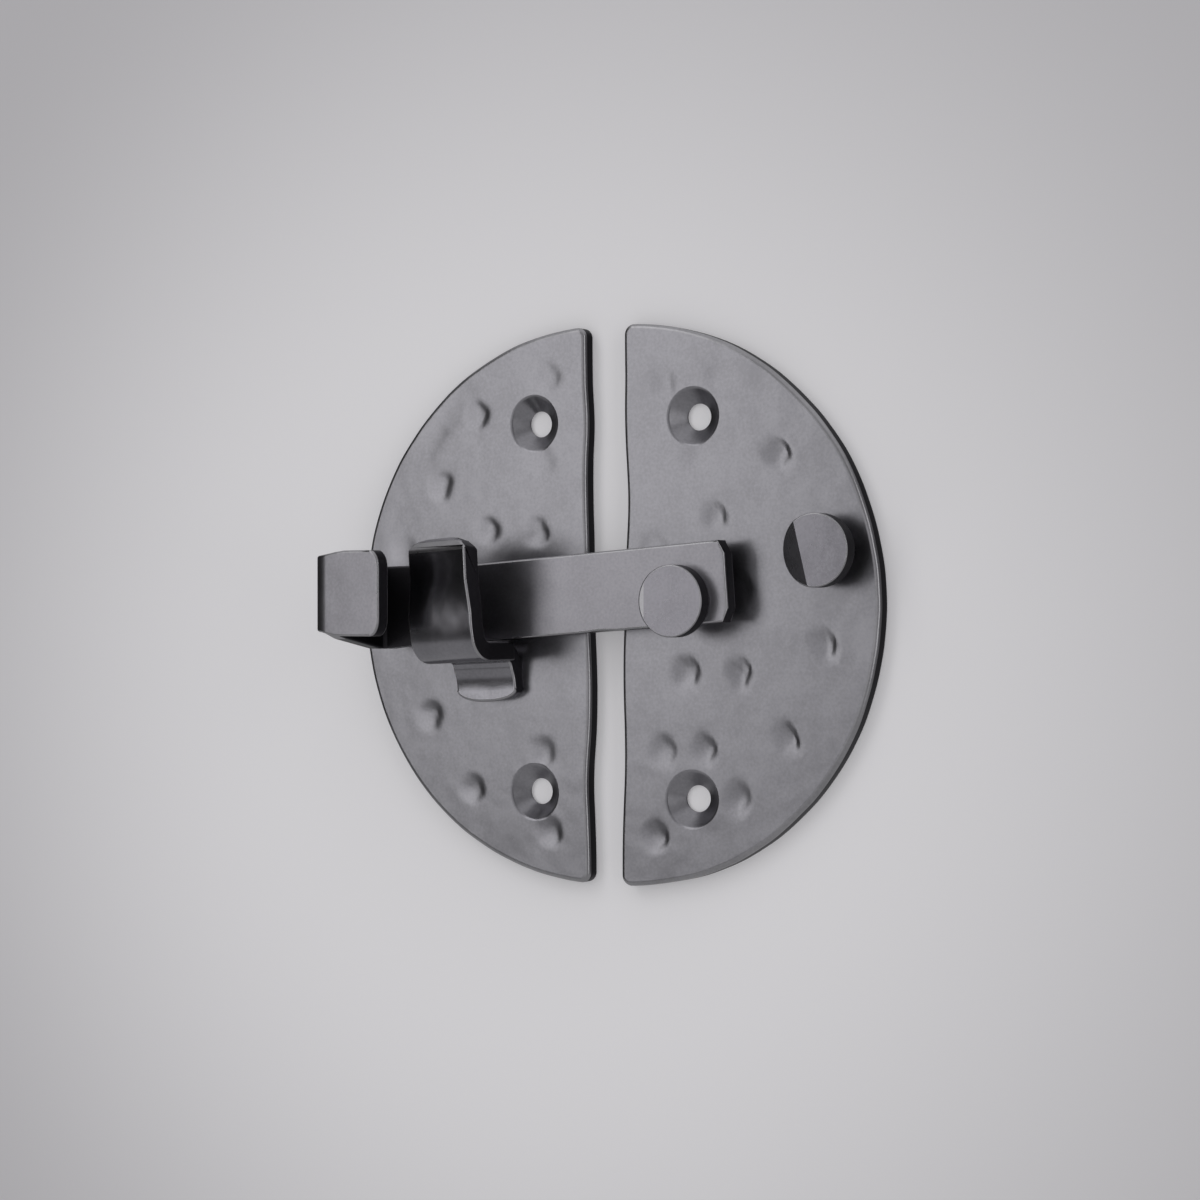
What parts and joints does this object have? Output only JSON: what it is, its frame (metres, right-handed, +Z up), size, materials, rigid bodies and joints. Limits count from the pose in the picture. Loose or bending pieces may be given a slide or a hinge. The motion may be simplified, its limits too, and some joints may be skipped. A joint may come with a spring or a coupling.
{
  "type": "cabinet latch",
  "caption": "Half-moon cabinet latch of hammered iron: a drop bar with a curled finger tab turns on a flat-headed rivet and rests in a hook, with a round pull knob.",
  "frame": {"origin": "middle of the four screw holes, on the plane of the plates' backs", "axes": "+X to the right along the doors seen from the front, +Z up, -Y out of the door towards the viewer"},
  "size_m": [0.1095, 0.0278, 0.1016],
  "materials": {
    "hammered_plate": "hammered, satin grey-black lacquer",
    "hook_iron": "satin grey-black lacquer",
    "bar_iron": "satin grey-black lacquer",
    "rivet_iron": "satin grey-black lacquer"
  },
  "bodies": {
    "frame": {"keeper_plate": "hammered_plate", "keeper_hook": "hook_iron", "keeper_rivet": "hook_iron", "latch_plate": "hammered_plate", "pivot_rivet": "rivet_iron", "pivot_collar": "rivet_iron", "pull_knob": "rivet_iron"},
    "bar": {"latch_bar": "bar_iron"}
  },
  "joints": [
    {"name": "bar_pivot", "type": "hinge", "parent": "frame", "child": "bar", "pos_m": [0.0173, 0, 0.0012], "axis": [0, 1, 0], "range_deg": [0, 130]}
  ]
}
